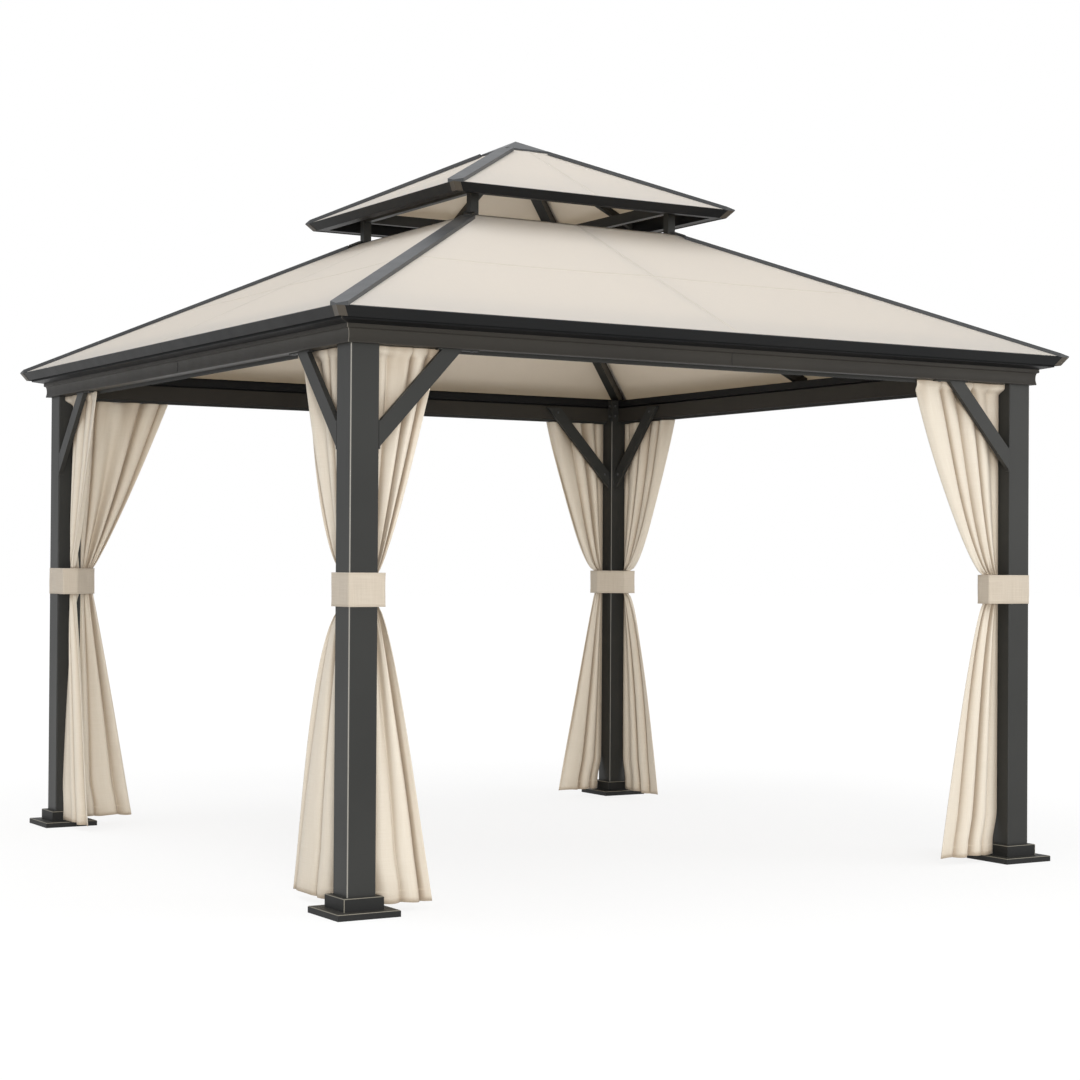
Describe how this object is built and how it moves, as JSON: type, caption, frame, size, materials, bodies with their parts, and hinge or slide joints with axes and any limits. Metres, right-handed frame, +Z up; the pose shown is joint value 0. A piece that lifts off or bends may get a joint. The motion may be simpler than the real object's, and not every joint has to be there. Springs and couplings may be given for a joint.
{
  "type": "metal gazebo",
  "caption": "Square open metal gazebo with box posts, knee braces, tied curtains and a two-tier hipped roof with a vent gap.",
  "frame": {"origin": "centre of the plan, on the floor", "axes": "+Z up, X and Y along the sides; the front post is at -X -Y"},
  "size_m": [3.3552, 3.3552, 3.0714],
  "materials": {
    "frame_metal": "dark charcoal satin powder coat",
    "cap_metal": "charcoal satin powder coat",
    "roof_fabric": "cream woven roof cover",
    "curtain_fabric": "beige woven curtain cloth"
  },
  "bodies": {
    "root": {"apex_cap": "cap_metal", "apex_hub": "frame_metal", "base_covers": "frame_metal", "beam_back_left": "frame_metal", "beam_back_right": "frame_metal", "beam_front_left": "frame_metal", "beam_front_right": "frame_metal", "corner_connectors": "frame_metal", "curtain_back_left_at_back_post": "curtain_fabric", "curtain_back_left_at_left_post": "curtain_fabric", "curtain_back_right_at_back_post": "curtain_fabric", "curtain_back_right_at_right_post": "curtain_fabric", "curtain_front_left_at_front_post": "curtain_fabric", "curtain_front_left_at_left_post": "curtain_fabric", "curtain_front_right_at_front_post": "curtain_fabric", "curtain_front_right_at_right_post": "curtain_fabric", "curtain_rails": "frame_metal", "eave_back_left": "frame_metal", "eave_back_right": "frame_metal", "eave_front_left": "frame_metal", "eave_front_right": "frame_metal", "knee_braces_back": "frame_metal", "knee_braces_front": "frame_metal", "knee_braces_left": "frame_metal", "knee_braces_right": "frame_metal", "lower_hip_caps": "cap_metal", "lower_hip_rafters": "frame_metal", "lower_mid_rafters": "frame_metal", "lower_panel_back_left": "roof_fabric", "lower_panel_back_right": "roof_fabric", "lower_panel_front_left": "roof_fabric", "lower_panel_front_right": "roof_fabric", "post_back": "frame_metal", "post_front": "frame_metal", "post_left": "frame_metal", "post_right": "frame_metal", "tie_bands": "curtain_fabric", "upper_eave": "frame_metal", "upper_hip_caps": "cap_metal", "upper_hip_rafters": "frame_metal", "upper_mid_rafters": "frame_metal", "upper_panel_back_left": "roof_fabric", "upper_panel_back_right": "roof_fabric", "upper_panel_front_left": "roof_fabric", "upper_panel_front_right": "roof_fabric", "vent_posts": "frame_metal", "vent_rails": "frame_metal", "vent_ring": "frame_metal"}
  },
  "joints": []
}
